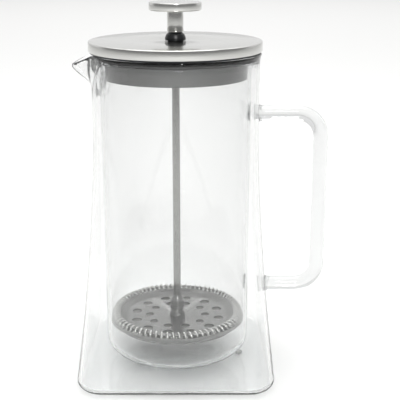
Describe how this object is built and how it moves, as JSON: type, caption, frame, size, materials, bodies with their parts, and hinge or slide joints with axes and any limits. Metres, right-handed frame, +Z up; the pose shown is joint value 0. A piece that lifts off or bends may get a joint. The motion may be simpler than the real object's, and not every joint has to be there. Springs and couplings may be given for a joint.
{
  "type": "french press",
  "caption": "Double-wall glass coffee press with a flared square foot, a rod handle, a pulled spout, a flat metal lid and a plunger with a coil-edged filter.",
  "frame": {"origin": "on the beaker's axis, in the plane that the base stands on", "axes": "+Z up along the rod, -X towards the spout, +X towards the handle"},
  "size_m": [0.1624, 0.124, 0.235],
  "materials": {
    "glass": "clear blown borosilicate glass",
    "clear_silicone": "translucent silicone",
    "satin_steel": "fine satin stainless steel",
    "polished_steel": "polished stainless steel",
    "spring_steel": "bright drawn wire",
    "steel_mesh": "fine woven wire mesh",
    "grey_plastic": "moulded matte plastic",
    "grey_silicone": "moulded matte silicone",
    "black_silicone": "moulded silicone, slightly glossy"
  },
  "bodies": {
    "vessel": {"outer_shell": "glass", "inner_beaker": "glass", "handle": "glass", "vent_plug": "clear_silicone"},
    "gasket": {"rim_gasket": "black_silicone"},
    "lid": {"lid_cap": "satin_steel", "lid_insert": "grey_plastic", "seal_ring": "grey_silicone", "grommet_washer": "satin_steel"},
    "bush": {"rod_grommet": "black_silicone"},
    "plunger": {"knob_disc": "satin_steel", "knob_stem": "satin_steel", "plunger_rod": "satin_steel", "hub_nut": "polished_steel", "hub_washer": "polished_steel", "spring_plate": "polished_steel", "coil_spring": "spring_steel", "mesh_screen": "steel_mesh", "cross_plate": "polished_steel", "plate_nut": "polished_steel"}
  },
  "joints": [
    {"name": "lid_lift", "type": "slide", "parent": "vessel", "child": "gasket", "axis": [0, 0, 1], "range_m": [0, 0.2]},
    {"name": "lid_turn", "type": "hinge", "parent": "gasket", "child": "lid", "pos_m": [0, 0, 0.205], "axis": [0, 0, 1], "continuous": true},
    {"name": "plunger_turn", "type": "hinge", "parent": "lid", "child": "bush", "pos_m": [0, 0, 0.212], "axis": [0, 0, 1], "continuous": true},
    {"name": "plunger_slide", "type": "slide", "parent": "bush", "child": "plunger", "axis": [0, 0, 1], "range_m": [0, 0.152]}
  ]
}
